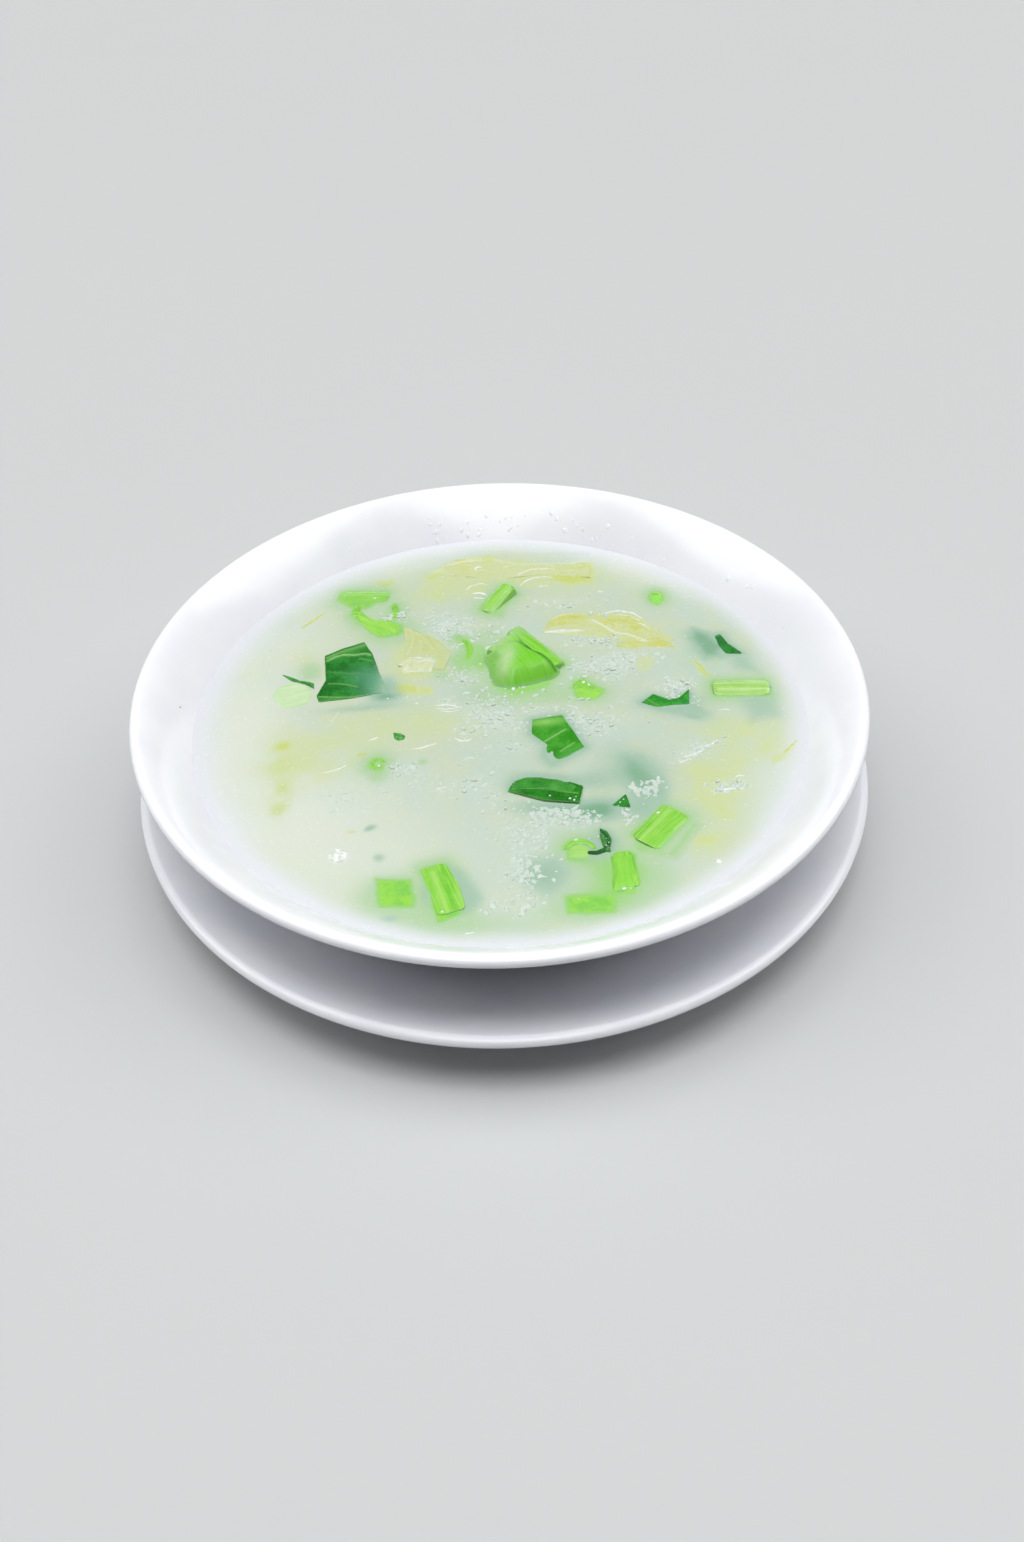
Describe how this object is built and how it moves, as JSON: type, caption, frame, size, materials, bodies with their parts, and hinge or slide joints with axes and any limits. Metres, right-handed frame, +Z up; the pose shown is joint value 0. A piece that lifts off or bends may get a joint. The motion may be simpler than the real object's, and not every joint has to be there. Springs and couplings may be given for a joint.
{
  "type": "congee bowl",
  "caption": "Round white bowl of rice congee with cut green stems, dark leaf pieces and soft cabbage, standing on a white under-plate",
  "frame": {"origin": "on the table, under the middle of the under-plate", "axes": "+Z up through the bowl; the near side, as a diner sits, faces -Y; +X to the diner's right"},
  "size_m": [0.237, 0.237, 0.0515],
  "materials": {
    "bowl_china": "white glaze, glossy",
    "plate_china": "white glaze, glossy",
    "congee": "wet, milky and soft, with rice grains",
    "green_stem": "wet, bright blanched stem",
    "green_leaf": "wet, dark blanched leaf with pale veins",
    "cabbage": "wet, translucent yellow-green cabbage"
  },
  "bodies": {
    "root": {"under_plate": "plate_china", "bowl": "bowl_china", "congee": "congee", "stem_far_left": "green_stem", "stem_far_middle": "green_stem", "stem_right": "green_stem", "stem_near_right": "green_stem", "stem_near_sunk": "green_stem", "stem_ridged": "green_stem", "stem_chip": "green_stem", "stem_crook": "green_stem", "stem_crescent": "green_stem", "stem_half_ring": "green_stem", "stem_small_ring": "green_stem", "stem_round": "green_stem", "stem_joint": "green_stem", "leaf_large": "green_leaf", "leaf_right_tip": "green_leaf", "leaf_folded": "green_leaf", "leaf_middle": "green_leaf", "leaf_rolled": "green_leaf", "leaf_near_tip": "green_leaf", "leaf_curl": "green_leaf", "cabbage_middle": "cabbage", "cabbage_left": "cabbage", "cabbage_far": "cabbage"}
  },
  "joints": []
}
